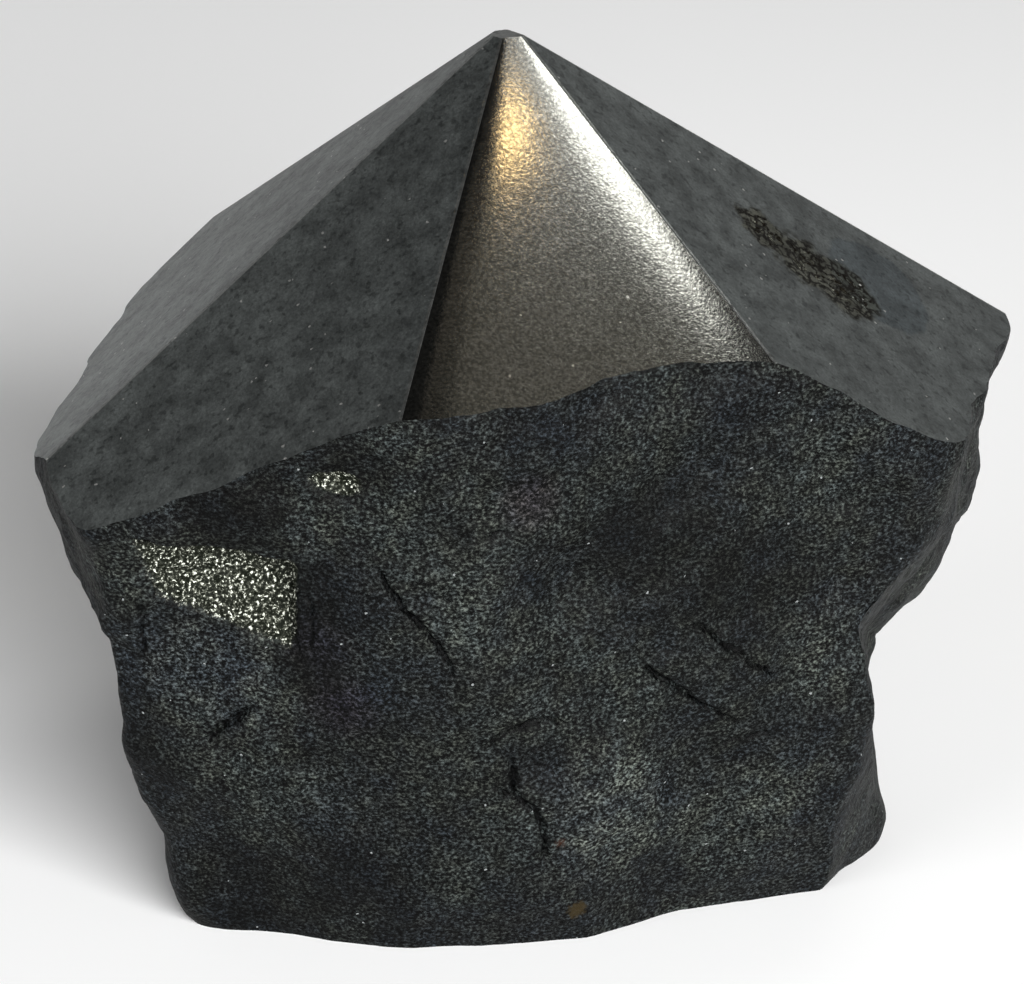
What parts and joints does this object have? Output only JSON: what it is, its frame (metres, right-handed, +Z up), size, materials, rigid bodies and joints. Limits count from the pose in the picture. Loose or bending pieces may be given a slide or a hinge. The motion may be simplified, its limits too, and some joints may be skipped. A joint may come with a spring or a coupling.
{
  "type": "polished hematite point",
  "caption": "Rough broken lump of hematite with flat faces ground and polished to a point on top and a flat sawn base, a desk or shelf ornament that stands by itself.",
  "frame": {"origin": "middle of the bottom of the stone's outline box, on the flat base it stands on", "axes": "+Z up through the point, -Y towards the front with the pocket of bright grains, +X to the right along the stone's longest side"},
  "size_m": [0.0676, 0.0558, 0.0613],
  "materials": {
    "stone": "dark grey iron ore with a low metallic shine: satin on the ground faces, matt and grainy where it is broken"
  },
  "bodies": {
    "root": {"hematite_stone": "stone"}
  },
  "joints": []
}
